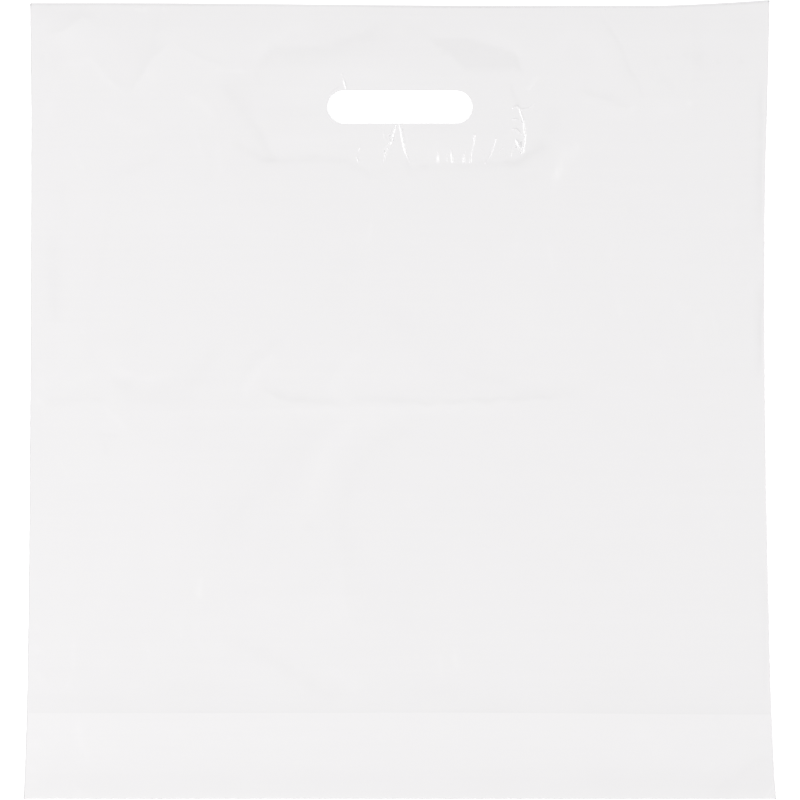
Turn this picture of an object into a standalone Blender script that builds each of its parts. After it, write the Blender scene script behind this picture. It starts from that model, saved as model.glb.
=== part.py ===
"""White polythene carrier bag with a punched hand slot, laid flat on its back panel.

+X runs across the bag, +Y from the bottom folds to the mouth and +Z is up. The origin is
under the middle of the bag. One web of film makes both panels and the gusset that is folded
up between them. Its sides are hot-knife welds, and a clear patch backs the slot on each panel.
"""

import math

import bmesh
import bpy
import numpy as np

FILM = 0.00005  # thickness of the film
BAG_HEIGHT = 0.4835  # bottom folds to the lowest place of the back panel's mouth edge
FOOT_WIDTH = 0.4581  # across the bottom folds, inside the weld beads
GUSSET_DEPTH = 0.0524
MOUTH_LIP = 0.0014  # the back panel stands this much past the front one
LEFT_LIFT = 0.0016  # the mouth edge slopes up this far to the left
CORNER_LIFT = 0.00345  # the mouth's right corner is pulled this far up

BODY_LOFT = 0.0013  # how high the front panel lies on the air inside
GUSSET_LOFT = 0.0020  # how high it lies on the four layers at the gusset
DRAPE = 0.020  # length of the slope between those two
PINCH = 0.045  # distance from a weld in which the panels close on each other
FOLD_RADIUS = 0.0003  # reach of a fold along Y
FOLD_STEPS = 5

WELD_RADIUS = 0.00025
WELD_PITCH = 0.00009  # spacing of the four layers where they enter the weld
WELD_SIDES = 8
WELD_STEPS = 20

SLOT_LENGTH = 0.0891
SLOT_HEIGHT = 0.0201
SLOT_DROP = 0.0619  # mouth edge to the slot's middle

PATCH_WIDTH = 0.162
PATCH_HEIGHT = 0.073
PATCH_OFFSET = (-0.005, 0.001)  # the patch's middle from the slot's
PATCH_CORNER = 0.012
PATCH_THICKNESS = 0.0001
PATCH_GAP = 0.0003  # clearance between a patch and its panel

LENGTH = BAG_HEIGHT + CORNER_LIFT
FOOT_Y = FILM - LENGTH / 2
MOUTH_Y = FOOT_Y + BAG_HEIGHT
GUSSET_Y = FOOT_Y + GUSSET_DEPTH
SLOT_Y = MOUTH_Y - SLOT_DROP
FRONT_Z = BODY_LOFT + FILM / 2


def smooth(value):
    """Eased step from 0 to 1."""
    value = min(max(value, 0.0), 1.0)
    return value * value * (3 - 2 * value)


def side_x(y, side):
    """The weld line: the panels draw in above the flat gusset, and most right of the middle."""
    up = y - FOOT_Y
    if side < 0:
        draw = 0.0016 * (1 - math.exp(-up / 0.045)) + 0.0037 * (1 - math.exp(-up / 0.220))
        draw -= 0.0008 * smooth((up - 0.410) / 0.075)
    else:
        draw = 0.0036 * (1 - math.exp(-up / 0.045)) + 0.0034 * smooth(up / 0.290)
        draw -= 0.0031 * smooth((up - 0.340) / 0.160)
    return side * (FOOT_WIDTH / 2 - draw)


def across(y, share):
    """X at a share of the width, from the left weld to the right one."""
    left = side_x(y, -1)
    return left + share * (side_x(y, 1) - left)


def lifted(share, y):
    """Y with the mouth edge pulled up: a little towards the left, more at the right corner."""
    left = LEFT_LIFT * (1 - smooth((share - 0.1) / 0.55))
    corner = CORNER_LIFT * min(max((share - 0.84) / 0.16, 0.0), 1.0) ** 1.5
    return y + (left + corner) * smooth((y - MOUTH_Y) / 0.060 + 1)


def height(x, y, level):
    """Z of the film's middle. Level is 0 on the back panel and 1 on the front one."""
    weld = WELD_RADIUS + (level - 0.5) * 3 * WELD_PITCH
    rest = (GUSSET_Y - y) / DRAPE + 1
    loft = BODY_LOFT + (GUSSET_LOFT - BODY_LOFT) * smooth(rest)
    body = FILM / 2 + level * loft
    near = min(x - side_x(y, -1), side_x(y, 1) - x)
    opened = math.sin(math.pi / 2 * min(max(near / PINCH, 0.0), 1.0))
    return weld + (body - weld) * opened


def fold(y, level, end_level, reach):
    """Stations round one fold: a half turn that takes the web from one level to the next."""
    stations = []
    for turn in np.linspace(0, math.pi, FOLD_STEPS + 1):
        part = (1 - math.cos(turn)) / 2
        stations.append((y + reach * math.sin(turn), level + (end_level - level) * part))
    return stations


def web_stations():
    """(y, level) along the web, from the front mouth edge round the gusset to the back one."""
    low = FOOT_Y + FOLD_RADIUS
    high = GUSSET_Y - FOLD_RADIUS
    top = [MOUTH_Y - MOUTH_LIP, MOUTH_Y - 0.030, MOUTH_Y - 0.060, SLOT_Y - 0.060]
    drape = list(np.linspace(GUSSET_Y + DRAPE, GUSSET_Y, 4))
    down = top + list(np.linspace(0.05, GUSSET_Y + 0.06, 3)) + drape + [FOOT_Y + 0.025]
    web = [(y, 1.0) for y in down]
    web += fold(low, 1, 2 / 3, -FOLD_RADIUS)
    web += [(FOOT_Y + 0.025, 2 / 3)]
    web += fold(high, 2 / 3, 1 / 3, FOLD_RADIUS)
    web += [(FOOT_Y + 0.025, 1 / 3)]
    web += fold(low, 1 / 3, 0, -FOLD_RADIUS)
    web += [(y, 0.0) for y in reversed(down[1:])] + [(MOUTH_Y, 0.0)]
    return web


def column_shares():
    """Shares of the width, close together where the film closes on the welds."""
    near = [0.0, 0.008, 0.020, 0.038, 0.068]
    middle = list(np.linspace(0.16, 0.84, 6))
    return near + middle + [1 - share for share in reversed(near)]


def material(name, colour, roughness, alpha=1.0):
    mat = bpy.data.materials.new(name)
    mat.use_nodes = True
    shader = mat.node_tree.nodes["Principled BSDF"]
    shader.inputs["Base Color"].default_value = (*colour, 1)
    shader.inputs["Roughness"].default_value = roughness
    shader.inputs["Metallic"].default_value = 0
    shader.inputs["Alpha"].default_value = alpha
    return mat


def rounded_outline(width, depth, corner, centre, steps=8):
    """Points round a rectangle whose corners are arcs."""
    points = []
    for quarter, (sx, sy) in enumerate([(1, 1), (-1, 1), (-1, -1), (1, -1)]):
        middle_x = centre[0] + sx * (width / 2 - corner)
        middle_y = centre[1] + sy * (depth / 2 - corner)
        for turn in np.linspace(quarter, quarter + 1, steps + 1) * math.pi / 2:
            points.append((middle_x + corner * math.cos(turn), middle_y + corner * math.sin(turn)))
    return points


def plate(name, outlines, thickness, z, collection):
    """A flat plate from 2D outlines, the first its edge and the others holes, as a mesh."""
    curve = bpy.data.curves.new(name + "_outline", "CURVE")
    curve.dimensions = "2D"
    curve.fill_mode = "BOTH"
    curve.extrude = thickness / 2
    for outline in outlines:
        spline = curve.splines.new("POLY")
        spline.points.add(len(outline) - 1)
        for point, (x, y) in zip(spline.points, outline):
            point.co = (x, y, 0, 1)
        spline.use_cyclic_u = True
    return solid_from_curve(name, curve, z, collection)


def solid_from_curve(name, curve, z, collection):
    """Turns a curve with caps into one closed mesh object at height z."""
    guide = bpy.data.objects.new(name + "_guide", curve)
    bpy.context.scene.collection.objects.link(guide)
    bpy.context.view_layer.update()
    evaluated = guide.evaluated_get(bpy.context.evaluated_depsgraph_get())
    mesh = bpy.data.meshes.new_from_object(evaluated)
    bpy.data.objects.remove(guide)
    bm = bmesh.new()
    bm.from_mesh(mesh)
    bmesh.ops.remove_doubles(bm, verts=bm.verts, dist=1e-6)
    bmesh.ops.recalc_face_normals(bm, faces=bm.faces)
    bm.to_mesh(mesh)
    bm.free()
    mesh.name = name
    obj = bpy.data.objects.new(name, mesh)
    obj.location.z = z
    collection.objects.link(obj)
    return obj


def film_web(collection):
    """The folded web: a flat strip of grid bent to its stations, then given its thickness."""
    stations = web_stations()
    shares = column_shares()
    bm = bmesh.new()
    bmesh.ops.create_grid(
        bm, x_segments=len(shares) - 1, y_segments=len(stations) - 1, size=0.5
    )
    for vert in bm.verts:
        column = round((vert.co.x + 0.5) * (len(shares) - 1))
        row = round((vert.co.y + 0.5) * (len(stations) - 1))
        y, level = stations[row]
        x = across(y, shares[column])
        vert.co = (x, lifted(shares[column], y), height(x, y, level))
    mesh = bpy.data.meshes.new("bag_film")
    bm.to_mesh(mesh)
    bm.free()
    obj = bpy.data.objects.new("bag_film", mesh)
    collection.objects.link(obj)
    wall = obj.modifiers.new("film thickness", "SOLIDIFY")
    wall.thickness = FILM
    wall.offset = 0
    return obj


def weld_bead(side, collection):
    """The melted bead that a hot knife leaves along one side, joining all the layers."""
    curve = bpy.data.curves.new("weld_line", "CURVE")
    curve.dimensions = "3D"
    curve.bevel_depth = WELD_RADIUS
    curve.bevel_resolution = WELD_SIDES // 2 - 2
    curve.use_fill_caps = True
    spline = curve.splines.new("POLY")
    spline.points.add(WELD_STEPS)
    ends = (FOOT_Y - FILM, MOUTH_Y - MOUTH_LIP / 2)
    for point, y in zip(spline.points, np.linspace(*ends, WELD_STEPS + 1)):
        point.co = (side_x(y, side), lifted((side + 1) / 2, y), 0, 1)
    return solid_from_curve("weld_bead", curve, WELD_RADIUS, collection)


def helper(obj):
    """Keeps a cutter or a joined bead out of renders and out of the part's own nodes."""
    obj.hide_render = True
    obj.display_type = "WIRE"
    return obj


def punch_slot(obj, cutter):
    step = obj.modifiers.new("hand slot", "BOOLEAN")
    step.operation = "DIFFERENCE"
    step.object = cutter


def weld_sides(obj, beads):
    """Joins both beads in one step: each alone would leave slivers that the other meets."""
    step = obj.modifiers.new("side welds", "BOOLEAN")
    step.operation = "UNION"
    step.operand_type = "COLLECTION"
    step.collection = beads


def patch(name, z, mat, collection):
    """One reinforcing patch, punched with the same slot as the film."""
    middle = (PATCH_OFFSET[0], SLOT_Y + PATCH_OFFSET[1])
    edge = rounded_outline(PATCH_WIDTH, PATCH_HEIGHT, PATCH_CORNER, middle)
    hole = rounded_outline(SLOT_LENGTH, SLOT_HEIGHT, SLOT_HEIGHT / 2, (0, SLOT_Y))
    obj = plate(name, [edge, hole], PATCH_THICKNESS, z, collection)
    obj.data.materials.append(mat)
    return obj


for old in list(bpy.data.objects):
    bpy.data.objects.remove(old)

bag = bpy.data.collections.new("carrier_bag")
cutters = bpy.data.collections.new("cutters")
beads = bpy.data.collections.new("weld_beads")
for group in (bag, cutters, beads):
    bpy.context.scene.collection.children.link(group)

white_film = material("white_film", (0.80, 0.79, 0.80), 0.35)
clear_film = material("clear_film", (0.86, 0.86, 0.87), 0.20, alpha=0.4)

film = film_web(bag)
film.data.materials.append(white_film)
for side in (-1, 1):
    helper(weld_bead(side, beads))
slot_edge = rounded_outline(SLOT_LENGTH, SLOT_HEIGHT, SLOT_HEIGHT / 2, (0, SLOT_Y))
punch_slot(film, helper(plate("slot_cutter", [slot_edge], 4 * BODY_LOFT, 0, cutters)))
weld_sides(film, beads)

patch_reach = (FILM + PATCH_THICKNESS) / 2 + PATCH_GAP
patch("front_patch", FRONT_Z - patch_reach, clear_film, bag)
patch("back_patch", FILM / 2 + patch_reach, clear_film, bag)
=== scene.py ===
import math

import bmesh
import bpy
import numpy as np
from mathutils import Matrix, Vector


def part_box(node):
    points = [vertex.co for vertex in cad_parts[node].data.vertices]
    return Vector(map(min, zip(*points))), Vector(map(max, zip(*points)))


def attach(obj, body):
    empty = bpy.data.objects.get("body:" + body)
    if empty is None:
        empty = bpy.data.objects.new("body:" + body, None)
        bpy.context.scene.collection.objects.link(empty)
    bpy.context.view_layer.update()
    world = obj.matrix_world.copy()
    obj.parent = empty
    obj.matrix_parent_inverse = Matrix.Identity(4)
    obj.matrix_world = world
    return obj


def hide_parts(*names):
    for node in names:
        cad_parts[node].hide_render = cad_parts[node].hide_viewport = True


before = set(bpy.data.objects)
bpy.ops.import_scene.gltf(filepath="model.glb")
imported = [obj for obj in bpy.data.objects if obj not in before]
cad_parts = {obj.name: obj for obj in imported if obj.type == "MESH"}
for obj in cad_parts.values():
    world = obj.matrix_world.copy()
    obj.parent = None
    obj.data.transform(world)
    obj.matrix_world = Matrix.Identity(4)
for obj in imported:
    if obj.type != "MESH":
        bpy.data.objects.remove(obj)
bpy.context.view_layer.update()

# Studio: a pale seamless floor, two soft boxes at copying angles and a weak room light.
# The bag lies on the floor, so the camera hangs straight above it on a long lens.
scene = bpy.context.scene
scene.view_settings.view_transform = "Standard"

BAG_LOW, BAG_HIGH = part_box("bag_film")
VIEW_WIDTH = 0.4872
CAMERA_HEIGHT = 3.0

camera_data = bpy.data.cameras.new("camera")
camera_data.sensor_width = 36
camera_data.lens = camera_data.sensor_width * CAMERA_HEIGHT / VIEW_WIDTH
camera_data.clip_end = 50
camera = bpy.data.objects.new("camera", camera_data)
camera.location = (0.00016, -0.00031, CAMERA_HEIGHT + BAG_HIGH[2])
scene.collection.objects.link(camera)
scene.camera = camera


def soft_box(name, place, width, length, radiance):
    """A long soft box that faces the middle of the bag, its length running along Y or X."""
    lamp = bpy.data.lights.new(name, "AREA")
    lamp.shape = "RECTANGLE"
    lamp.size = width
    lamp.size_y = length
    lamp.energy = radiance * math.pi * width * length
    holder = bpy.data.objects.new(name, lamp)
    holder.location = place
    holder.rotation_euler = holder.location.to_track_quat("Z", "Y").to_euler()
    scene.collection.objects.link(holder)


soft_box("left_box", (-2.25, -0.15, 2.05), 0.75, 2.0, 12.0)
soft_box("right_box", (2.25, 0.10, 2.05), 0.75, 2.0, 8.6)
soft_box("front_box", (-0.3, -2.4, 2.0), 1.4, 0.9, 3.2)

world = bpy.data.worlds.new("room")
world.use_nodes = True
world.node_tree.nodes["Background"].inputs["Color"].default_value = (1, 1, 1, 1)
world.node_tree.nodes["Background"].inputs["Strength"].default_value = 0.42
scene.world = world


class Value:
    """A shader socket that can be used in plain arithmetic."""

    tree = None

    def __init__(self, socket):
        self.socket = socket

    @staticmethod
    def join(value, socket):
        if isinstance(value, Value):
            Value.tree.links.new(value.socket, socket)
        else:
            socket.default_value = value

    @staticmethod
    def node(kind, settings=None, inputs=None, output=0):
        """Adds a node: its settings come first, then the values or links of its sockets."""
        made = Value.tree.nodes.new(kind)
        for key, value in (settings or {}).items():
            setattr(made, key, value)
        for key, value in (inputs or {}).items():
            Value.join(value, made.inputs[key])
        return Value(made.outputs[output])

    def math(self, operation, other=0.0):
        return Value.node("ShaderNodeMath", {"operation": operation}, {0: self, 1: other})

    def __add__(self, other):
        return self.math("ADD", other)

    __radd__ = __add__

    def __mul__(self, other):
        return self.math("MULTIPLY", other)

    __rmul__ = __mul__

    def __sub__(self, other):
        return self.math("SUBTRACT", other)

    def __rsub__(self, other):
        return self * -1.0 + other


def new_material(name):
    """A node material with its Principled shader, with Value set to build in it."""
    made = bpy.data.materials.new(name)
    made.use_nodes = True
    Value.tree = made.node_tree
    return made, made.node_tree.nodes["Principled BSDF"].inputs


def new_piece(name, mesh, paint, node):
    """Links a finished mesh as a piece that stands for its CAD node."""
    mesh.materials.clear()
    mesh.materials.append(paint)
    piece = bpy.data.objects.new(name, mesh)
    scene.collection.objects.link(piece)
    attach(piece, "root")
    if node:
        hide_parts(node)
    return piece


# Floor: one wide pale sheet, lit past white.
floor_bm = bmesh.new()
bmesh.ops.create_grid(floor_bm, x_segments=1, y_segments=1, size=6.0)
floor_mesh = bpy.data.meshes.new("floor")
floor_bm.to_mesh(floor_mesh)
floor_bm.free()
floor = bpy.data.objects.new("floor", floor_mesh)
scene.collection.objects.link(floor)
floor_paint, paper = new_material("floor_paper")
paper["Base Color"].default_value = (0.95, 0.95, 0.95, 1)
paper["Roughness"].default_value = 1.0
paper["Specular IOR Level"].default_value = 0.0
paper["Emission Color"].default_value = (1, 1, 1, 1)
paper["Emission Strength"].default_value = 0.30
floor_mesh.materials.append(floor_paint)

# Film web: white low-density polythene, 50 micrometres thick, in one length that makes the
# front panel, the gusset folded up inside and the back panel. It lies flat on its back panel.
# The front panel rests on a little air, on the patches and on the gusset's four layers.
MM = 0.001
FILM = 0.05 * MM
MOUTH_LIP = 1.4 * MM
LEFT_LIFT = 1.6 * MM
CORNER_LIFT = 3.45 * MM
LIFT_REACH = 60 * MM
GUSSET_DEPTH = 52.4 * MM
BODY_LOFT = 1.0 * MM
MOUTH_LOFT = 0.25
MOUTH_FADE = 20 * MM
GUSSET_LOFT = 1.6 * MM
DRAPE = 20 * MM
PINCH = 55 * MM
PUCKER_LENGTH = 9 * MM
PUCKER_REACH = 6 * MM
PUCKER_START = 3 * MM
PUCKER_RISE = 0.12 * MM
FOLD = 0.3 * MM
FRONT_FOLD_UP = 0.5 * MM
WELD_RADIUS = 0.25 * MM
WELD_PITCH = 0.09 * MM
FOOT_WIDTH = BAG_HIGH[0] - BAG_LOW[0] - 2 * WELD_RADIUS
FOOT_Y = BAG_LOW[1] + 1.5 * FILM
MOUTH_Y = BAG_HIGH[1] - CORNER_LIFT
GUSSET_Y = FOOT_Y + GUSSET_DEPTH
FRONT_EDGE_Y = MOUTH_Y - MOUTH_LIP


def eased(value):
    """Eased step from 0 to 1."""
    value = np.clip(value, 0.0, 1.0)
    return value * value * (3 - 2 * value)


def side_x(y, side):
    """The weld line: the panels draw in above the flat gusset, and most right of the middle."""
    up = y - FOOT_Y
    if side < 0:
        draw = 0.0016 * (1 - np.exp(-up / 0.045)) + 0.0037 * (1 - np.exp(-up / 0.220))
        draw = draw - 0.0008 * eased((up - 0.410) / 0.075)
    else:
        draw = 0.0036 * (1 - np.exp(-up / 0.045)) + 0.0034 * eased(up / 0.290)
        draw = draw - 0.0031 * eased((up - 0.340) / 0.160)
    return side * (FOOT_WIDTH / 2 - draw)


def lifted(share, y):
    """Y with the mouth edge pulled up: a little towards the left, more at the right corner."""
    left = LEFT_LIFT * (1 - eased((share - 0.1) / 0.55))
    corner = CORNER_LIFT * np.clip((share - 0.84) / 0.16, 0, 1) ** 1.5
    return y + (left + corner) * eased((y - MOUTH_Y) / LIFT_REACH + 1)


def web_route():
    """Length along the web, Y and layer level, from the front mouth edge to the back one."""
    low = FOOT_Y + FOLD
    high = GUSSET_Y - FOLD
    turns = np.linspace(0, math.pi, 9)
    route = [(FRONT_EDGE_Y, 1.0)]
    folds = [
        (low + FRONT_FOLD_UP, 1, 2 / 3, -FOLD),
        (high, 2 / 3, 1 / 3, FOLD),
        (low, 1 / 3, 0, -FOLD),
    ]
    for centre, start, end, reach in folds:
        for turn in turns:
            level = start + (end - start) * (1 - math.cos(turn)) / 2
            route.append((centre + reach * math.sin(turn), level))
    route.append((MOUTH_Y, 0.0))
    route = np.array(route)
    steps = np.hypot(np.diff(route[:, 0]), np.diff(route[:, 1]) * GUSSET_LOFT)
    return np.concatenate([[0], np.cumsum(steps)]), route[:, 0], route[:, 1]


ROUTE_LENGTH, ROUTE_Y, ROUTE_LEVEL = web_route()


def ripple(x, y, wavelength, seed, waves=7):
    """Gentle uneven waves of about one wavelength, from about -1 to 1."""
    draw = np.random.default_rng(seed)
    total = np.zeros_like(x)
    for _ in range(waves):
        turn, phase = draw.uniform(0, 2 * math.pi, 2)
        length = wavelength * draw.uniform(0.7, 1.5)
        run = x * math.cos(turn) + y * math.sin(turn)
        total += np.sin(2 * math.pi * run / length + phase)
    return total / math.sqrt(waves * 2)


def near_line(x, y, points):
    """Distance to a line of points, how far along it the nearest place is, and the side."""
    lengths = [math.dist(a, b) for a, b in zip(points, points[1:])]
    best = np.full(x.shape, np.inf)
    run = np.zeros_like(x)
    side = np.zeros_like(x)
    done = 0.0
    for start, end, length in zip(points, points[1:], lengths):
        along_x, along_y = (end[0] - start[0]) / length, (end[1] - start[1]) / length
        off_x, off_y = x - start[0], y - start[1]
        place = np.clip(off_x * along_x + off_y * along_y, 0, length)
        gap = np.hypot(off_x - place * along_x, off_y - place * along_y)
        run = np.where(gap < best, (done + place) / sum(lengths), run)
        side = np.where(gap < best, along_x * off_y - along_y * off_x, side)
        best = np.minimum(best, gap)
        done += length
    return best, run, side


def within(x, y, points, reach):
    """Which places lie in a box round the points."""
    along_x, along_y = zip(*points)
    inside = (x > min(along_x) - reach) & (x < max(along_x) + reach)
    inside &= (y > min(along_y) - reach) & (y < max(along_y) + reach)
    return np.flatnonzero(inside)


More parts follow.
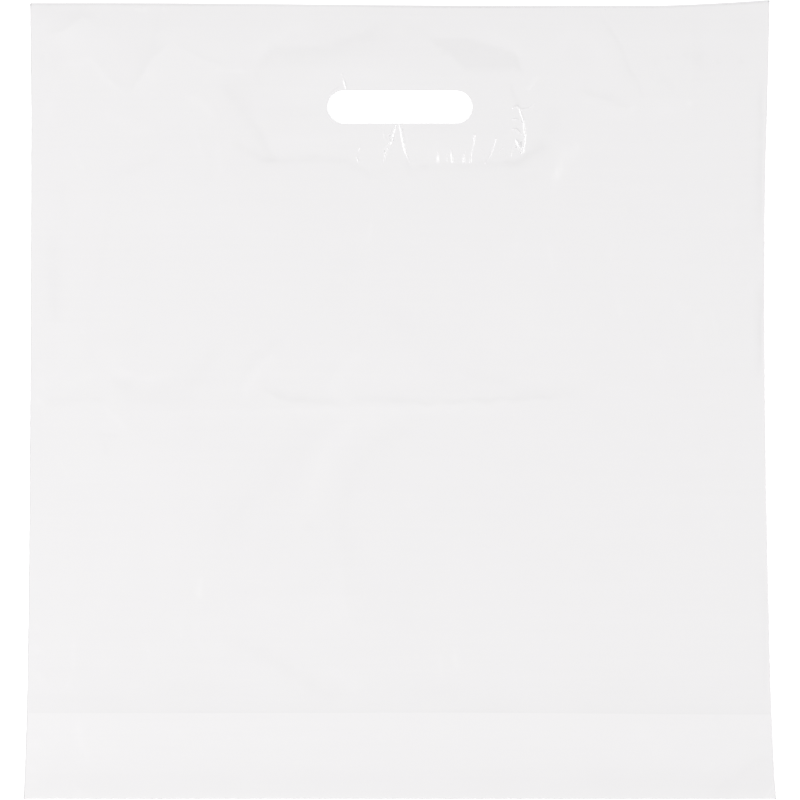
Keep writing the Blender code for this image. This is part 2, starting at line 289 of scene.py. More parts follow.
# Folds pressed into the front panel by packing and handling, in millimetres on the panel:
# points, reach to the left and to the right of the line, and strength. A positive fold stands
# up a little and is painted lighter, a negative one dips a little and is painted darker: painted
# light and shade in the film's tone, on top of the folds' small real relief.
FOLDS = [
    # Top left.
    ([(-216.5, 221.5), (-205.5, 225), (-192.5, 234), (-182.5, 231.5)], 5.5, 0.9, -1.7),
    ([(-216.5, 220), (-205.5, 224), (-192.5, 231.5), (-184, 227.5)], 0.9, 8.5, 0.9),
    (
        [
            (-208, 202), (-199.5, 204.5), (-188.5, 206.5),
            (-180, 197.5), (-173.5, 190.5), (-166.5, 185),
        ],
        1.8, 1.8, 1.4,
    ),
    ([(-187.5, 208), (-179, 199), (-172, 191), (-166.5, 186)], 7.3, 0.9, -0.9),
    ([(-140.5, 217.5), (-152, 209), (-158, 197), (-164.5, 187.5)], 0.7, 5.5, -2.0),
    ([(-146, 237), (-148.5, 225), (-152, 210.5)], 2.4, 3, -1.3),
    ([(-140, 217), (-149, 208), (-156.5, 196), (-163, 186.5)], 8.5, 0.9, 0.9),
    ([(-140.5, 217), (-130, 211.5), (-118.5, 206), (-106.5, 201.5)], 0.9, 7.3, 0.8),
    ([(-140, 218.5), (-129.5, 213), (-118, 207.5), (-104.5, 202.5)], 3.7, 0.7, -0.9),
    ([(-114.5, 200.5), (-103.5, 200), (-92, 200)], 1, 1, 1.3),
    ([(-210, 217.5), (-208.5, 208), (-210, 197)], 3.7, 3.7, -0.9),
    ([(-208, 192), (-212.5, 180), (-215, 166.5)], 2.4, 2.4, 0.8),
    ([(-184, 175), (-167.5, 169.5), (-157.5, 163.5), (-148.5, 165.5)], 3, 3.7, 1.0),
    ([(-132, 183), (-122, 184), (-117.5, 178.5), (-112.5, 170)], 1.5, 3.7, 1.3),
    ([(-128.5, 170), (-124, 161.5), (-121.5, 152), (-118, 141)], 1.2, 2.4, 0.9),
    ([(-112, 158), (-110.5, 147), (-107.5, 136)], 1, 1.8, 0.9),
    ([(-177.5, 135.5), (-164.5, 138.5), (-145, 149.5)], 3, 1.8, -1.2),
    ([(-201, 157), (-196.5, 146), (-191.5, 137.5)], 1.2, 1.8, 0.7),
    ([(-127.5, 131), (-118.5, 133.5), (-112.5, 138.5)], 3, 2.4, -0.7),
    ([(-205.5, 135), (-205, 118.5), (-203, 104.5)], 3, 3, -0.8),
    # Round the patches.
    (
        [(-86.5, 204.5), (-76, 213.5), (-59.5, 213), (-41, 216), (-24, 222), (-4.5, 231)],
        1.8, 7.3, -2.7,
    ),
    ([(-91, 205.5), (-80, 217.5), (-68, 224.5), (-51, 231)], 5.5, 3.7, 1.2),
    ([(2.5, 227.5), (12.5, 225.5), (22, 219)], 1.8, 2.4, -1.0),
    ([(40.5, 221.5), (56, 223), (67, 217.5), (77, 208)], 3, 2.4, 0.9),
    ([(-79, 213), (-84, 203), (-87, 191)], 3, 2.4, -1.0),
    ([(-109.5, 193.5), (-98.5, 180), (-88.5, 168)], 5.5, 3, -1.4),
    ([(-92.5, 174), (-85, 160.5), (-79.5, 152), (-74, 144.5)], 1.8, 3.7, -2.3),
    ([(-103.5, 158), (-93.5, 151.5), (-84, 146), (-70.5, 146)], 3, 1.8, -2.0),
    (
        [
            (-90, 146), (-67, 146), (-50, 147), (-33.5, 146.5),
            (-25.5, 141), (-19.5, 137.5), (-12.5, 137.5), (-7, 143),
        ],
        1.5, 2.1, -2.6,
    ),
    ([(2, 147.5), (7, 140.5), (11.5, 141), (19.5, 144)], 1.2, 2.4, -2.6),
    (
        [(12.5, 143.5), (36.5, 143), (61, 144.5), (70, 144.5), (79.5, 150), (90.5, 155)],
        1.2, 3, -2.0,
    ),
    ([(61, 143), (73, 146), (82.5, 152), (91.5, 157)], 2.4, 3.7, -2.2),
    ([(93.5, 180), (92, 168), (88.5, 159), (80.5, 150.5)], 5.5, 4.3, -1.4),
    ([(68, 193.5), (70, 185.5), (74.5, 178.5)], 0.9, 1.5, -2.4),
    ([(71.5, 210.5), (74, 205.5), (75.5, 198)], 1.2, 2.4, -1.2),
    ([(-42.5, 190.5), (0, 191), (36.5, 190.5)], 1.2, 1.8, 0.5),
    ([(-41, 166.5), (-12, 166.5)], 0.9, 1.5, -0.8),
    ([(6.5, 166.5), (40.5, 166.5)], 0.9, 1.5, -0.8),
    # Top right.
    ([(120.5, 236), (132.5, 220), (138, 206.5), (143.5, 194.5), (148, 182.5)], 1.2, 2.1, -2.2),
    (
        [(97, 205.5), (99.5, 220), (108, 226), (117, 220), (123, 206.5), (125.5, 193.5)],
        4.3, 4.3, 0.8,
    ),
    ([(106.5, 189.5), (125, 183.5), (144, 177.5)], 3.7, 1.2, -1.7),
    ([(108.5, 184), (125.5, 178.5), (145, 175.5)], 1.8, 5.5, 0.9),
    ([(63, 129.5), (74.5, 133.5), (86.5, 138.5)], 1.8, 2.4, -0.8),
    ([(119.5, 127.5), (146.5, 129), (168, 129.5)], 1.2, 2.4, 0.7),
    ([(146.5, 171.5), (159.5, 177.5), (172, 178.5), (177.5, 183)], 3.7, 4.9, 0.9),
    ([(108, 157.5), (106.5, 150.5), (103.5, 144.5)], 2.1, 2.4, 2.4),
    ([(102, 154.5), (99, 144.5), (96, 136), (92.5, 126)], 2.4, 2.4, 2.4),
    ([(98, 143.5), (95, 133.5)], 1.8, 1.8, 2.6),
    ([(84, 197), (80.5, 192), (76.5, 187.5)], 1.5, 1.8, 2.0),
    ([(167, 185.5), (163.5, 192), (159, 200.5)], 1.8, 1.8, -0.8),
    ([(178.5, 237), (178.5, 213), (178.5, 182.5)], 9.7, 0.5, -0.7),
    # Sides: painted shade along the right weld, painted light on the small puckers by the left
    # weld.
    ([(221, 199.5), (220.5, 170), (220, 127.5), (220, 97)], 0.7, 3, -2.8),
    ([(220.5, 73), (220.5, 48.5), (220, 30), (220, 13)], 0.7, 2.4, -4.5),
    ([(222, -98), (223, -134.5), (223.5, -185.5)], 0.7, 2.4, -1.6),
    ([(-212, 108), (-210.5, 85), (-210, 42.5)], 5.5, 5.5, -1.4),
    ([(-213, 79), (-210, 60.5), (-208.5, 45)], 4.3, 3.7, -0.9),
    ([(-175, 122.5), (-182, 80), (-187, 55.5), (-192.5, 34)], 1.8, 1.8, -0.7),
    ([(204, 124), (203, 108), (201.5, 102)], 2.4, 2.4, 0.7),
    ([(204, 99.5), (206, 82.5)], 2.4, 2.4, 0.8),
    ([(215, 74), (214, 65.5)], 2.4, 2.4, 0.7),
    ([(-221.5, 23), (-219, 16.5)], 1.8, 1.8, 2.0),
    ([(-221.5, 13), (-216.5, 7)], 2.4, 2.4, 1.6),
    ([(-221.5, 1), (-217, -4.5)], 1.8, 1.8, 1.8),
    ([(-223.5, -134.5), (-220.5, -141.5)], 2.4, 2.4, 1.2),
    ([(-224, -149.5), (-219, -155.5)], 2.4, 2.4, 1.0),
    ([(-224.5, -166), (-216.5, -172)], 1.8, 1.8, 1.4),
    ([(-226.5, -208.5), (-219, -212)], 2.4, 2.4, 1.0),
    ([(-227, -223), (-220.5, -227)], 1.8, 1.8, 1.4),
    ([(-227, -233), (-219, -234)], 1.8, 1.8, 1.0),
    # Across the middle.
    ([(-221.5, -2.5), (-207, -1.5), (-191.5, 1), (-177.5, -1)], 3, 1.8, -1.7),
    ([(-179, 13), (-152, 4.5), (-124, 8)], 5.5, 5.5, -1.1),
    ([(-170.5, -1.5), (-146, -1.5), (-121.5, 1)], 3.7, 3, -0.8),
    ([(-130, 3.5), (-117, 23), (-107, 35)], 5.5, 4.3, -1.2),
    ([(-98.5, 15.5), (-84, 29.5), (-70.5, 36)], 3, 3.7, -1.2),
    ([(-96, -2.5), (-92, 10.5), (-84.5, 21.5), (-76, 27)], 1.8, 3, 1.4),
    ([(-87.5, 7), (-67, -0.5), (-48.5, -1.5), (-33.5, -2.5)], 4.3, 1.2, -2.8),
    ([(-32.5, 0.5), (-12, -0.5), (18.5, -2), (34.5, -2)], 3.7, 0.9, -2.2),
    ([(24.5, -2), (43, -1), (73, 0.5), (105, 1.5)], 2.4, 0.9, -2.4),
    ([(64, 2), (85.5, 4.5), (110, 2)], 3.7, 2.4, -1.0),
    ([(-180, -7.5), (-121.5, -7.5), (-30.5, -5), (12.5, -4.5), (97.5, -2.5)], 0.9, 4.3, 1.1),
    ([(-43.5, -2.5), (-40, 10.5), (-31, 22), (-22, 30)], 3, 5.5, 1.0),
    ([(-18, 41), (-23, 40), (-27, 34)], 1.8, 1.8, -0.9),
    ([(-17, 110.5), (-18, 102), (-20, 94.5)], 1, 1, 1.4),
    ([(-20.5, 83.5), (-20.5, 69)], 1, 1, 0.4),
    ([(-177.5, 27.5), (-170.5, 18), (-160, 12), (-136.5, 15.5)], 1.8, 3, 1.4),
    ([(-177.5, 12), (-169, 9), (-160.5, 10)], 2.4, 2.4, -1.0),
    ([(-182.5, -1.5), (-176, -9), (-165.5, -20)], 1.8, 1.8, 1.3),
    ([(-176.5, 7), (-174, -1.5)], 1.2, 1.2, 0.9),
    ([(-209.5, -32), (-205.5, -39.5), (-201.5, -50)], 1, 1.5, 0.9),
    ([(-185, 19), (-193.5, 12), (-208, 8)], 2.4, 2.4, 0.8),
    ([(38, 16.5), (55, 12), (73, 9.5)], 3.7, 3, -1.0),
    ([(72.5, 105.5), (71, 93.5), (69, 82.5)], 1.8, 1.8, 0.7),
    ([(91, 96), (92, 87.5), (93.5, 77.5)], 1.2, 1.2, 0.9),
    ([(130.5, 77.5), (132.5, 63), (136.5, 46)], 1.5, 1.8, 0.9),
    ([(181, 53.5), (181.5, 31.5)], 3, 3, 0.8),
    ([(189.5, 57), (192.5, 41)], 1.2, 1.2, 1.0),
    ([(158, 32.5), (159, 10.5)], 3, 3, 0.7),
    ([(129.5, 97), (128.5, 83.5)], 1.2, 1.2, 0.6),
    # Below the middle.
    ([(7.5, -7.5), (-29, -15), (-47.5, -34.5), (-54, -59), (-63, -76)], 6.7, 6.1, 1.0),
    ([(-37.5, -10), (-58.5, -22), (-69.5, -44), (-95, -65), (-118, -93)], 8.5, 7.3, -1.0),
    (
        [(22, -11.5), (-14.5, -26), (-32, -52.5), (-36, -73.5), (-29, -101.5), (-26.5, -124.5)],
        7.3, 8.5, -0.9,
    ),
    ([(-36.5, -98), (-33.5, -122), (-32, -139)], 0.9, 8.5, 0.6),
    ([(-121.5, -107.5), (-121, -122)], 1.2, 2.1, 2.2),
    ([(-135.5, -135.5), (-133, -146.5)], 1.5, 1.5, 0.9),
    ([(-124, -135.5), (-120, -155)], 1.5, 1.8, 0.9),
    ([(-198.5, -144), (-199, -167)], 1, 1.2, 1.3),
    ([(-199.5, -166), (-203, -178)], 1.2, 1.2, 0.9),
    ([(-153.5, -147.5), (-152.5, -161)], 1, 1.2, 0.9),
    ([(-110.5, -145.5), (-84, -154), (-63, -168.5), (-47.5, -178), (-29, -181)], 5.5, 4.3, -1.3),
    ([(-47.5, -160), (-36.5, -168.5), (-20.5, -177)], 4.3, 4.3, 0.7),
    ([(33.5, -150), (35.5, -167)], 1.2, 1.5, 1.4),
    ([(24.5, -154), (25.5, -171)], 1.2, 1.2, 0.8),
    ([(29.5, -128), (33, -138)], 1.8, 1.8, 0.5),
    ([(-196, -193), (-195.5, -206), (-188.5, -222)], 1.8, 2.4, 1.4),
    ([(-196, -235.5), (-194.5, -242.5)], 1.8, 2.4, 1.4),
    ([(-185, -20), (-170.5, -22)], 1.2, 3.7, -1.4),
    ([(-177.5, -24.5), (-179, -35.5)], 2.4, 2.4, -0.9),
    ([(146.5, -195), (151, -210.5), (166, -219.5)], 4.3, 3.7, 0.5),
    ([(201, -204.5), (196.5, -218.5), (183, -228)], 2.4, 2.4, 0.5),
    ([(186, -242), (204, -229.5), (228.5, -213.5)], 1.8, 8.5, -1.3),
    ([(216.5, -206), (224.5, -196.5)], 2.4, 2.4, 1.0),
    ([(-225, -244), (-201, -222.5), (-207, -207.5)], 6.1, 4.9, -0.6),
]

# One flat facet above the slot, in tone only: painted shade with no height, given by corners,
# softness of its edge and strength.
FACETS = [
    ([(18.5, 219), (38, 221), (61, 214), (71.5, 210), (74.5, 201.5), (40.5, 202)], 2.1, -3.3),
]

# Broad lights and darks painted into the tone, standing for light and shade on the panel's swells
# and for the layers lying close or apart: middle, reach, turn, strength.
AREAS = [
    ((-208, 235.5), (16, 5), -12, -1.4),
    ((-23, 197), (34, 5), 0, 1.3),
    ((-4.5, 215.5), (30, 9), -5, -0.9),
    ((-60.5, 185), (15, 5), 0, 0.9),
    ((-62, 175), (13, 3), 0, -0.8),
    ((-59.5, 158), (26, 5), 0, 1.1),
    ((24.5, 153), (21, 5), 0, 0.9),
    ((106.5, 209), (9, 7), 0, -0.9),
    ((208.5, 228), (10, 7), 0, -0.9),
    ((128, 198), (7, 9), 0, 0.4),
    ((-98.5, 187.5), (13, 10), 30, -0.8),
    ((-164.5, 215.5), (11, 12), 20, -0.8),
    ((-197, 219), (12, 7), -20, 0.6),
    ((-33.5, 81.5), (7, 5), 30, -1.0),
    ((-39.5, 65.5), (7, 5), 40, -0.8),
    ((1.5, 47), (9, 6), -40, -0.9),
    ((0, 16.5), (22, 11), 0, 0.8),
    ((-170.5, 35), (13, 5), 0, -0.8),
    ((-212, 30), (4, 7), 0, -0.9),
    ((-188.5, 30), (3, 6), 0, -0.7),
    ((-207, -164.5), (11, 7), 0, -0.9),
    ((172.5, 55.5), (4, 3), -30, 1.3),
    ((97.5, 6), (24, 5), 0, -0.4),
    ((-146, -88.5), (27, 18), 0, 0.4),
    ((146.5, -177), (43, 5), 0, -0.6),
    ((24.5, -178), (29, 5), 0, -1.0),
    ((-127.5, -175.5), (27, 5), 0, -0.9),
    ((-201, -183), (37, 5), 0, -1.0),
    ((204, 206.5), (12, 11), 0, -0.4),
    ((79.5, 60.5), (37, 37), 0, 0.4),
    ((-12, -49), (15, 9), 0, -0.5),
    ((-152, -43), (37, 18), 0, 0.35),
    ((97.5, -43), (49, 15), 0, -0.3),
    ((158.5, 73), (30, 30), 0, 0.3),
    ((-42.5, -131), (15, 12), 0, 0.8),
    ((-79, -128), (15, 5), 0, 0.7),
    ((0, -116), (24, 24), 0, -0.5),
]

# Small light and dark spots painted into the tone, the light ones as painted highlights on tiny
# bumps: middle, radius and strength.
SPECKS = [
    ((-218, 208.5), 1.2, -1.6),
    ((156, 205.5), 2.4, -1.2),
    ((163.5, 208.5), 1.8, -1.2),
    ((175, 209), 2.4, -1.5),
    ((181.5, 208.5), 3.7, -1.8),
    ((184, 203), 2.4, -1.0),
    ((194.5, 205.5), 2.1, -1.4),
    ((208, 206), 1.8, -1.6),
    ((159, 194.5), 2.4, -0.8),
    ((-166, 90), 1.2, -1.2),
    ((-113, 62.5), 1.2, -1.3),
    ((140, 115.5), 1.2, -1.3),
    ((-56.5, -77.5), 2.4, -1.2),
    ((-105, -206), 1.1, 1.4),
    ((-59.5, -206), 1.1, 1.4),
    ((-13, -206), 1.1, 1.4),
    ((177, 180.5), 1.8, 2.4),
    ((141.5, 177), 2.4, 1.4),
    ((-192.5, 42.5), 1.8, 1.0),
    ((-78, 26), 1.8, 0.8),
    ((-202, -96), 1.2, -1.4),
    ((-154.5, 154), 1.2, -1.0),
]

# Sharp glossy creases that stand up from the panel: points, and the half width at the start,
# in the middle and at the end.
SHARP_CREASES = [
    # Two legs below the slot, with a thin line beside the wider one.
    ([(-2.9, 167.2), (-5.6, 158), (-8.1, 150.7), (-10.5, 142.8)], (0.9, 1.7, 0.3)),
    ([(-10.2, 165.9), (-9.6, 161.1), (-8.4, 156.2)], (0.2, 0.45, 0.2)),
    ([(0.2, 167.2), (2, 158), (3.5, 150.7), (6.3, 144)], (0.8, 1, 0.3)),
    # Short pleats that stand on the patch's lower edge.
    ([(-24.2, 153.8), (-24.8, 150.7)], (0.4, 0.6, 0.4)),
    ([(-26.6, 150.1), (-26.6, 147.7), (-25.1, 144.9)], (0.3, 0.4, 0.7)),
    ([(23.3, 151.3), (23.3, 144.6)], (0.4, 0.85, 0.85)),
    ([(28.8, 149.5), (28.5, 145.2)], (0.3, 0.55, 0.55)),
    ([(31.2, 152.5), (32.4, 144.6)], (0.4, 0.8, 0.9)),
    ([(39.1, 149.8), (39.1, 144.6)], (0.5, 0.85, 0.85)),
    ([(40.1, 152.9), (40.1, 150.7)], (0.3, 0.4, 0.3)),
    ([(45.5, 161.1), (45.2, 157.4), (43.7, 150.7), (42.8, 144.6)], (0.8, 0.5, 0.85)),
    ([(49.8, 152.5), (50.4, 151.3)], (0.3, 0.35, 0.3)),
    ([(58.3, 158.6), (57.4, 155), (55.3, 148.9), (52.5, 144.3)], (0.8, 0.55, 0.9)),
    ([(61.1, 151), (63.2, 153.8)], (0.6, 0.6, 0.4)),
    ([(63.5, 147.1), (65.3, 148.9)], (0.45, 0.5, 0.3)),
    ([(69.6, 155), (68.7, 151.3), (67.5, 148.3)], (0.4, 0.45, 0.5)),
    # The patch's right edge, where the film is gathered.
    ([(69.3, 177.5), (71.1, 178.7), (72.9, 177.5)], (0.9, 1.1, 0.9)),
    ([(72.9, 177.5), (75.4, 170.2), (76.3, 161.1), (74.8, 150.1)], (0.8, 0.8, 1.1)),
    ([(69, 170.8), (72.6, 170.5)], (0.7, 0.9, 0.5)),
    ([(69, 164.7), (71.4, 164.4), (73.9, 161.7)], (0.8, 1, 0.6)),
    ([(71.1, 158), (73.2, 153.8), (74.8, 149.8)], (0.9, 1.7, 0.3)),
    ([(73.9, 176.6), (78.1, 177.2), (82.7, 180.9)], (0.8, 0.6, 0.3)),
    ([(78.1, 187.9), (81.2, 191.5), (84.2, 195.2)], (0.3, 0.5, 0.2)),
    # Round the upper side of the slot.
    ([(-35.5, 199.1), (-34.9, 197)], (0.35, 0.45, 0.3)),
    ([(-34.5, 195.8), (-32.7, 189.7)], (0.4, 0.85, 0.8)),
    ([(-37, 190), (-40, 187.9), (-42.2, 185.1)], (0.7, 0.8, 0.5)),
    ([(22.7, 193.4), (22.4, 191.5)], (0.3, 0.4, 0.3)),
    ([(24.8, 197.3), (26.4, 195.5)], (0.3, 0.4, 0.3)),
    ([(23.3, 189.1), (26.4, 189.2)], (0.3, 0.4, 0.3)),
    # Nicks at the mouth edge, and the crushed lower right corner.
    ([(-161.2, 238.2), (-159.1, 238.4), (-157, 238.2)], (0.4, 0.6, 0.4)),
    ([(-156, 238.3), (-153.9, 238.4)], (0.3, 0.5, 0.3)),
    ([(-143.9, 238.4), (-141.7, 238.4)], (0.4, 0.5, 0.3)),
    ([(124.4, 237.2), (125.9, 236.9)], (0.4, 0.5, 0.3)),
    ([(223.1, -242.7), (226.1, -237.8), (229.1, -233.6)], (0.6, 1.6, 1)),
    ([(225.5, -242.7), (228.8, -238.4)], (0.5, 1.2, 0.6)),
]
FOLD_RELIEF = 0.03
CREASE_SLOPE = 0.45
TONE = 0.0094


def fold_marks(x, y, high, white):
    """Adds the soft folds, which fade out at both ends and are uneven on the way: a little height,
    and painted light and shade in the tone.
    """
    uneven = 1 + 0.3 * ripple(x, y, 11, 21)
    for points, left, right, strength in FOLDS:
        near = within(x, y, points, 3 * max(left, right))
        gap, run, side = near_line(x[near], y[near], points)
        reach = np.where(side > 0, left, right)
        fade = (eased(run / 0.25) * eased((1 - run) / 0.25)) ** 0.6 * uneven[near]
        # Painted light and shade along the fold: lighter on raised folds, darker in dips.
        white[near] += TONE * strength * fade * np.exp(-((gap / reach) ** 1.6))
        high[near] += FOLD_RELIEF * strength * fade * np.exp(-((gap / np.maximum(reach, 1.4)) ** 2))


def broad_marks(x, y, white):
    """Adds the facet, the broad lights and darks and the specks, which are tone only: painted light
    and shade, with no height.
    """
    for corners, softness, strength in FACETS:
        inside = np.full(x.shape, np.inf)
        for (x0, y0), (x1, y1) in zip(corners, corners[1:] + corners[:1]):
            cross = (y1 - y0) * (x - x0) - (x1 - x0) * (y - y0)
            inside = np.minimum(inside, cross / math.dist((x0, y0), (x1, y1)))
        white += TONE * strength * eased(inside / softness + 0.5)
    for (middle_x, middle_y), (reach_x, reach_y), degrees, strength in AREAS:
        cos, sin = math.cos(math.radians(degrees)), math.sin(math.radians(degrees))
        run_x = ((x - middle_x) * cos + (y - middle_y) * sin) / reach_x
        run_y = ((y - middle_y) * cos - (x - middle_x) * sin) / reach_y
        white += TONE * strength * np.exp(-(run_x**2) - run_y**2)
    for (middle_x, middle_y), radius, strength in SPECKS:
        gap = np.hypot(x - middle_x, y - middle_y)
        white += TONE * strength * np.exp(-((gap / radius) ** 2))


def crease_marks(x, y, high, white):
    """Adds the sharp creases as small ridges with uneven sides that catch the light, and paints a
    highlight into the tone along each.
    """
    for points, halves in SHARP_CREASES:
        near = within(x, y, points, max(halves))
        gap, run, _ = near_line(x[near], y[near], points)
        half = np.interp(run, [0, 0.5, 1], halves)
        rise = np.clip(1 - gap / half, 0, 1)
        facet = 1 + 0.22 * ripple(x[near], y[near], 1.6, 41)
        high[near] = np.maximum(high[near], CREASE_SLOPE * half * rise * facet)
        # Painted highlight along the ridge, on top of its real gloss.
        white[near] += 2.5 * TONE * rise


def front_marks(x, y):
    """Height in millimetres, and tone with its painted light and shade, that the marks add to the
    front panel.
    """
    high = np.zeros_like(x)
    white = np.ones_like(x)
    warped_x = x + 0.7 * ripple(x, y, 15, 31)
    warped_y = y + 0.7 * ripple(x, y, 15, 32)
    fold_marks(warped_x, warped_y, high, white)
    broad_marks(warped_x, warped_y, white)
    crease_marks(x, y, high, white)
    return high, white


def gusset_shade(x, y):
    """The gusset's edge under the front panel, in the tone: lighter over its four layers, with
    painted shade above them where the panel drapes down, and darker near the foot.
    """
    above = y - GUSSET_Y
    uneven = 1 + 0.35 * ripple(x, y * 0, 0.060, 51)
    dark = -1.5 * np.exp(-above / (9 * MM)) * uneven - 1.0 * np.exp(-above / (1.2 * MM))
    below = GUSSET_Y - y
    light = 1.4 * np.exp(-((below / (26 * MM)) ** 2)) - 0.2
    foot = -1.1 * np.exp(-(((below - 42 * MM) / (7 * MM)) ** 2)) * uneven
    return TONE * np.where(above > 0, dark, light + foot)


def panel_x(flat_x, y):
    """X on a panel: the middle keeps its width and the sides take what the welds draw in."""
    reach = FOOT_WIDTH / 2
    share = np.abs(flat_x) / reach
    drawn = np.where(flat_x < 0, side_x(y, -1) + reach, side_x(y, 1) - reach)
    return flat_x + drawn * share**2


def film_place(flat_x, length):
    """Where a point of the flat web lies, and its tone there, painted light and shade included."""
    y = np.interp(length, ROUTE_LENGTH, ROUTE_Y)
    level = np.interp(length, ROUTE_LENGTH, ROUTE_LEVEL)
    share = flat_x / FOOT_WIDTH + 0.5
    left, right = side_x(y, -1), side_x(y, 1)
    x = panel_x(flat_x, y)
    raised = lifted(share, y)
    front = eased(level * 6 - 5)
    near = np.minimum(x - left, right - x)
    opened = np.sin(math.pi / 2 * np.clip(near / PINCH, 0, 1))
    weld = WELD_RADIUS + (level - 0.5) * 3 * WELD_PITCH
    drape = np.clip((GUSSET_Y - y) / DRAPE + 1, 0, 1) ** 2
    loft = BODY_LOFT + (GUSSET_LOFT - BODY_LOFT) * drape
    loft = loft * (1 - (1 - MOUTH_LOFT) * eased((y - MOUTH_Y) / MOUTH_FADE + 1))
    marks, white = front_marks(x / MM, raised / MM)
    waves = 0.22 * ripple(x, y, 0.110, 3) + 0.05 * ripple(x, y, 0.035, 5)
    pucker = ripple(x * 0 + np.sign(flat_x), y, PUCKER_LENGTH, 7) * np.exp(-near / PUCKER_REACH)
    rise = front * (marks + waves * (1 - 0.7 * drape)) * MM
    z = weld + (FILM / 2 + level * loft + rise - weld) * opened
    z = z + PUCKER_RISE * front * pucker * np.clip(near / PUCKER_START, 0, 1)
    edge_wave = 0.3 * MM * np.exp(-(((x - 0.02) / 0.06) ** 2)) - 0.9 * MM * eased((x - 0.06) / 0.17)
    raised = raised + front * edge_wave * np.exp(-(((y - GUSSET_Y) / 0.012) ** 2))
    # The back panel's lip beyond the front edge is painted darker, for its single layer and as
    # painted shade under the front panel's edge.
    lip = eased((y - FRONT_EDGE_Y) / 0.0002)
    white = 1 + front * (white - 1 + gusset_shade(x, y)) - 3.0 * TONE * lip
    return np.stack([x, raised, z], axis=-1), white


COLUMNS = 92
BASE_ROW = 5 * MM
GUSSET_ROWS = [FRONT_EDGE_Y - GUSSET_Y + off * MM for off in (-2.5, -0.8, -0.2, 0.2, 1.5)]


def web_rows():
    """Places along the flat web where a row of the grid lies: close in the folds only."""
    rows = [0.0]
    for place in sorted([*ROUTE_LENGTH[1:], *GUSSET_ROWS]):
        steps = max(1, round((place - rows[-1]) / BASE_ROW))
        rows += list(np.linspace(rows[-1], place, steps + 1)[1:])
    return np.array(rows)


def gaps_to(x, y, lines):
    """How far places in millimetres are from the nearest of some lines, if that is near."""
    gaps = np.full(len(x), np.inf)
    for points in lines:
        near = within(x, y, points, 9)
        gaps[near] = np.minimum(gaps[near], near_line(x[near], y[near], points)[0])
    return gaps


def refine(bm, wanted, levels):
    """Halves the front panel's square faces, level by level, near the lines that want it."""
    for _ in range(levels):
        faces = [face for face in bm.faces if len(face.verts) == 4]
        middles = np.array([face.calc_center_median()[:2] for face in faces])
        spans = np.sqrt([face.calc_area() for face in faces]) / MM
        y = FRONT_EDGE_Y - middles[:, 1]
        x = panel_x(middles[:, 0], np.clip(y, FOOT_Y, MOUTH_Y)) / MM
        chosen = np.zeros(len(faces), bool)
        for lines, reach, size in wanted:
            chosen |= (spans > size) & (gaps_to(x, y / MM, lines) < reach + 0.7 * spans)
        chosen &= middles[:, 1] < ROUTE_LENGTH[1]
        edges = {edge for index in np.flatnonzero(chosen) for edge in faces[index].edges}
        bmesh.ops.subdivide_edges(bm, edges=list(edges), cuts=1, use_grid_fill=True)


def rounded_prism(name, width, depth, corner, centre, reach):
    """A tall prism with rounded corners, for punching: widths in metres."""
    bm = bmesh.new()
    middle_x, middle_y = width / 2 - corner, depth / 2 - corner
    ring = []
    for quarter, (sx, sy) in enumerate([(1, 1), (-1, 1), (-1, -1), (1, -1)]):
        for turn in np.linspace(quarter, quarter + 1, 13) * math.pi / 2:
            place_x = centre[0] + sx * middle_x + corner * math.cos(turn)
            place_y = centre[1] + sy * middle_y + corner * math.sin(turn)
            ring.append(bm.verts.new((place_x, place_y, -reach)))
    bmesh.ops.remove_doubles(bm, verts=ring, dist=1e-7)
    face = bm.faces.new([v for v in ring if v.is_valid])
    top = bmesh.ops.extrude_face_region(bm, geom=[face])["geom"]
    lift = [item for item in top if isinstance(item, bmesh.types.BMVert)]
    bmesh.ops.translate(bm, verts=lift, vec=(0, 0, 2 * reach))
    bmesh.ops.recalc_face_normals(bm, faces=bm.faces)
    mesh = bpy.data.meshes.new(name)
    bm.to_mesh(mesh)
    bm.free()
    return bpy.data.objects.new(name, mesh)


SLOT_LENGTH = 89.1 * MM
SLOT_HEIGHT = 20.1 * MM
SLOT_Y = MOUTH_Y - 61.9 * MM


def flat_blank(bm, thickness, cutters):
    """Gives a flat sheet its thickness and punches it, and returns the finished flat mesh."""
    mesh = bpy.data.meshes.new("blank")
    bm.to_mesh(mesh)
    bm.free()
    blank = bpy.data.objects.new("blank", mesh)
    scene.collection.objects.link(blank)
    wall = blank.modifiers.new("wall", "SOLIDIFY")
    wall.thickness = thickness
    wall.offset = 0
    for cutter, operation in cutters:
        scene.collection.objects.link(cutter)
        cut = blank.modifiers.new("punch", "BOOLEAN")
        cut.operation = operation
        cut.object = cutter
    evaluated = blank.evaluated_get(bpy.context.evaluated_depsgraph_get())
    made = bpy.data.meshes.new_from_object(evaluated)
    for used in [blank] + [cutter for cutter, _ in cutters]:
        bpy.data.objects.remove(used)
    return made


def bend_sheet(mesh, place):
    """Moves a flat sheet's points to where place puts them, keeping its thickness square."""
    flat = np.empty(len(mesh.vertices) * 3)
    mesh.vertices.foreach_get("co", flat)
    flat = flat.reshape(-1, 3)
    step = 1e-5
    here, white = place(flat[:, 0], flat[:, 1])
    run_x = place(flat[:, 0] + step, flat[:, 1])[0] - place(flat[:, 0] - step, flat[:, 1])[0]
    run_y = place(flat[:, 0], flat[:, 1] + step)[0] - place(flat[:, 0], flat[:, 1] - step)[0]
    normal = np.cross(run_y, run_x)
    normal /= np.linalg.norm(normal, axis=1)[:, None]
    bent = here + normal * flat[:, 2:3]
    mesh.vertices.foreach_set("co", bent.ravel())
    # The film's tone, with the painted light and shade of the marks, goes to the shader as a point
    # attribute.
    tone = mesh.attributes.new("whiteness_and_shade", "FLOAT", "POINT")
    tone.data.foreach_set("value", white)
    mesh.flip_normals()
    mesh.shade_smooth()
    mesh.set_sharp_from_angle(angle=math.radians(50))
    mesh.update()


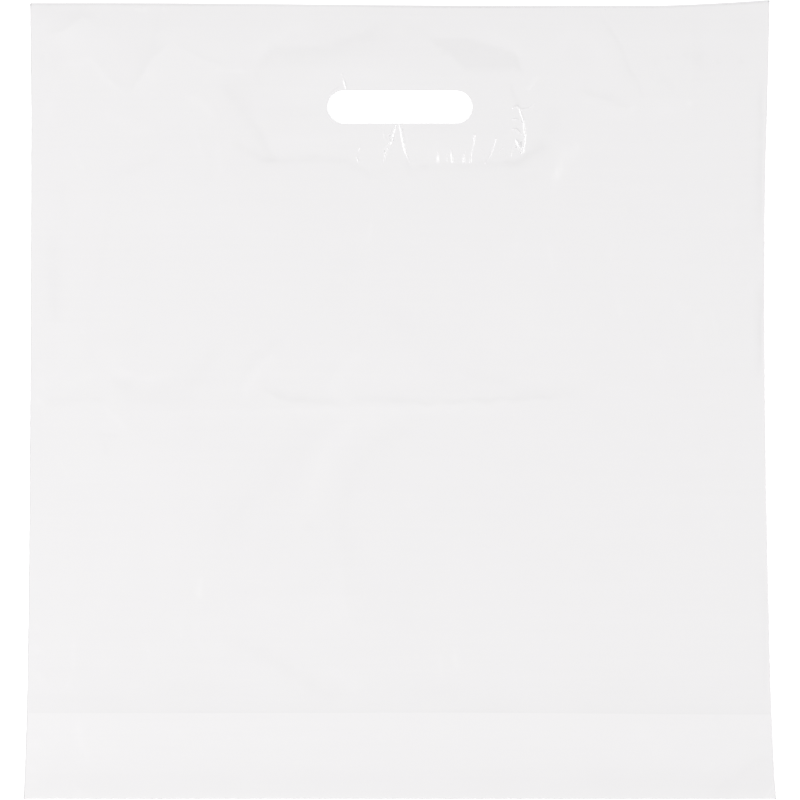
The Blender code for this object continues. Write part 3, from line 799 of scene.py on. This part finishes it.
rows = web_rows()
web = bmesh.new()
bmesh.ops.create_grid(web, x_segments=COLUMNS, y_segments=len(rows) - 1, size=0.5)
for vert in web.verts:
    row = round((vert.co.y + 0.5) * (len(rows) - 1))
    vert.co = (vert.co.x * FOOT_WIDTH, rows[row], 0)
fold_lines = [points for points, _, _, _ in FOLDS]
fine_lines = [points for points, left, right, _ in FOLDS if min(left, right) < 1.4]
sharp_lines = [points for points, _ in SHARP_CREASES]
speck_points = [[middle, (middle[0] + 0.1, middle[1])] for middle, _, _ in SPECKS]
fold_detail = [(fold_lines, 3, 2.6), (fine_lines + speck_points, 1.2, 1.4)]
refine(web, fold_detail + [(sharp_lines, 1.6, 0.7), (sharp_lines, 0.7, 0.35)], 4)

slots = []
for run in (FRONT_EDGE_Y - SLOT_Y, ROUTE_LENGTH[-1] - (MOUTH_Y - SLOT_Y)):
    punch = rounded_prism("punch", SLOT_LENGTH, SLOT_HEIGHT, SLOT_HEIGHT / 2, (0, run), 0.001)
    slots.append((punch, "DIFFERENCE"))
film_mesh = flat_blank(web, FILM, slots)
bend_sheet(film_mesh, film_place)

film_paint, film = new_material("white_polythene")
place = Value.node("ShaderNodeTexCoord", output=3)


def stretched_noise(stretch, detail):
    """Noise over the piece's own place, finer along the axes with a larger stretch."""
    spot = Value.node("ShaderNodeVectorMath", {"operation": "MULTIPLY"}, {0: place, 1: stretch})
    return Value.node("ShaderNodeTexNoise", None, {"Vector": spot, "Scale": 1.0, "Detail": detail})


die_lines = stretched_noise((9, 420, 420), 3.0)
cloud = stretched_noise((60, 60, 60), 2.0)
# Painted light and shade: this tone carries the folds, broad lights and darks, crease highlights,
# the gusset's edge and the mouth lip.
whiteness_and_shade = Value.node("ShaderNodeAttribute", {"attribute_name": "whiteness_and_shade"}, output=2)
whiteness_and_shade = whiteness_and_shade * ((die_lines - 0.5) * 0.012 + (cloud - 0.5) * 0.006 + 1.0)
tint = Value.node(
    "ShaderNodeVectorMath",
    {"operation": "SCALE"},
    {0: (0.775, 0.7665, 0.772), 3: whiteness_and_shade},
)
Value.join(tint, film["Base Color"])
Value.join((cloud - 0.5) * 0.10 + 0.22, film["Roughness"])
grain = stretched_noise((900, 900, 900), 2.0)
bump = Value.node(
    "ShaderNodeBump", None, {"Strength": 0.3, "Distance": 0.00002, "Height": grain}
)
Value.join(bump, film["Normal"])
film["IOR"].default_value = 1.51
bag_film = new_piece("film_web", film_mesh, film_paint, "bag_film")

# Patches: two pieces of clear film, 100 micrometres thick, stuck to the inside of the panels
# round the slot before the bag was made, and punched through with it.
PATCH_FILM = 0.1 * MM
PATCH_LOW, PATCH_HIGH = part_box("front_patch")
PATCH_WIDTH = PATCH_HIGH[0] - PATCH_LOW[0]
PATCH_HEIGHT = PATCH_HIGH[1] - PATCH_LOW[1]
PATCH_MIDDLE = ((PATCH_LOW[0] + PATCH_HIGH[0]) / 2, (PATCH_LOW[1] + PATCH_HIGH[1]) / 2)
PATCH_GRID = 3 * MM

clear_paint, clear = new_material("clear_polythene")
clear["Base Color"].default_value = (0.86, 0.86, 0.87, 1)
clear["Roughness"].default_value = 0.16
clear["IOR"].default_value = 1.51
clear["Alpha"].default_value = 0.35


def patch_place(length, gap):
    """A placer for one patch, which follows the film web at a length along it."""
    def place(x, y):
        spot, white = film_place(x, length(y))
        return spot + np.array([0, 0, gap]), white

    return place


def film_patch(name, node, length, gap):
    """One patch: a sheet of clear film with round corners, punched by the slot."""
    sheet = bmesh.new()
    steps = [round(side / PATCH_GRID) for side in (PATCH_WIDTH, PATCH_HEIGHT)]
    bmesh.ops.create_grid(sheet, x_segments=steps[0], y_segments=steps[1], size=0.5)
    for vert in sheet.verts:
        vert.co.x = PATCH_MIDDLE[0] + vert.co.x * PATCH_WIDTH * 0.999
        vert.co.y = PATCH_MIDDLE[1] + vert.co.y * PATCH_HEIGHT * 0.999
    edge = rounded_prism("edge", PATCH_WIDTH, PATCH_HEIGHT, 12 * MM, PATCH_MIDDLE, 0.001)
    punch = rounded_prism("punch", SLOT_LENGTH, SLOT_HEIGHT, SLOT_HEIGHT / 2, (0, SLOT_Y), 0.001)
    made = flat_blank(sheet, PATCH_FILM, [(edge, "INTERSECT"), (punch, "DIFFERENCE")])
    bend_sheet(made, patch_place(length, gap))
    piece = new_piece(name, made, clear_paint, node)
    return piece


film_patch("front_patch_film", "front_patch", lambda y: FRONT_EDGE_Y - y, -0.25 * MM)
film_patch("back_patch_film", "back_patch", lambda y: ROUTE_LENGTH[-1] - (MOUTH_Y - y), 0.15 * MM)

# Side welds: the bead of melted polythene that a hot knife leaves as it cuts and seals the
# layers in one stroke, the same film drawn into a thin uneven thread.
WELD_STEP = 3 * MM


def weld_bead(name, side):
    """One side's bead: a thin uneven thread along the weld line."""
    curve = bpy.data.curves.new(name, "CURVE")
    curve.dimensions = "3D"
    curve.bevel_depth = WELD_RADIUS
    curve.bevel_resolution = 2
    curve.use_fill_caps = True
    spline = curve.splines.new("POLY")
    steps = round((MOUTH_Y - FOOT_Y) / WELD_STEP)
    places = np.linspace(FOOT_Y - FILM, MOUTH_Y - MOUTH_LIP / 2, steps + 1)
    thick = 1 + 0.18 * ripple(places, places * 0 + side, 0.012, 11)
    thick = thick + 0.25 * eased((GUSSET_Y - places) / 0.004)
    spline.points.add(steps)
    x = side_x(places, side)
    for point, px, py, part in zip(spline.points, x, lifted((side + 1) / 2, places), thick):
        point.co = (px, py, WELD_RADIUS * 1.3, 1)
        point.radius = part
    guide = bpy.data.objects.new(name, curve)
    scene.collection.objects.link(guide)
    evaluated = guide.evaluated_get(bpy.context.evaluated_depsgraph_get())
    mesh = bpy.data.meshes.new_from_object(evaluated)
    bpy.data.objects.remove(guide)
    bm = bmesh.new()
    bm.from_mesh(mesh)
    bmesh.ops.remove_doubles(bm, verts=bm.verts, dist=1e-6)
    bmesh.ops.recalc_face_normals(bm, faces=bm.faces)
    bm.to_mesh(mesh)
    bm.free()
    mesh.shade_smooth()
    return new_piece(name, mesh, weld_paint, None)


weld_paint, weld = new_material("melted_polythene")
weld["Base Color"].default_value = (0.76, 0.755, 0.76, 1)
weld["Roughness"].default_value = 0.3
weld["IOR"].default_value = 1.51
weld_bead("left_weld", -1)
weld_bead("right_weld", 1)
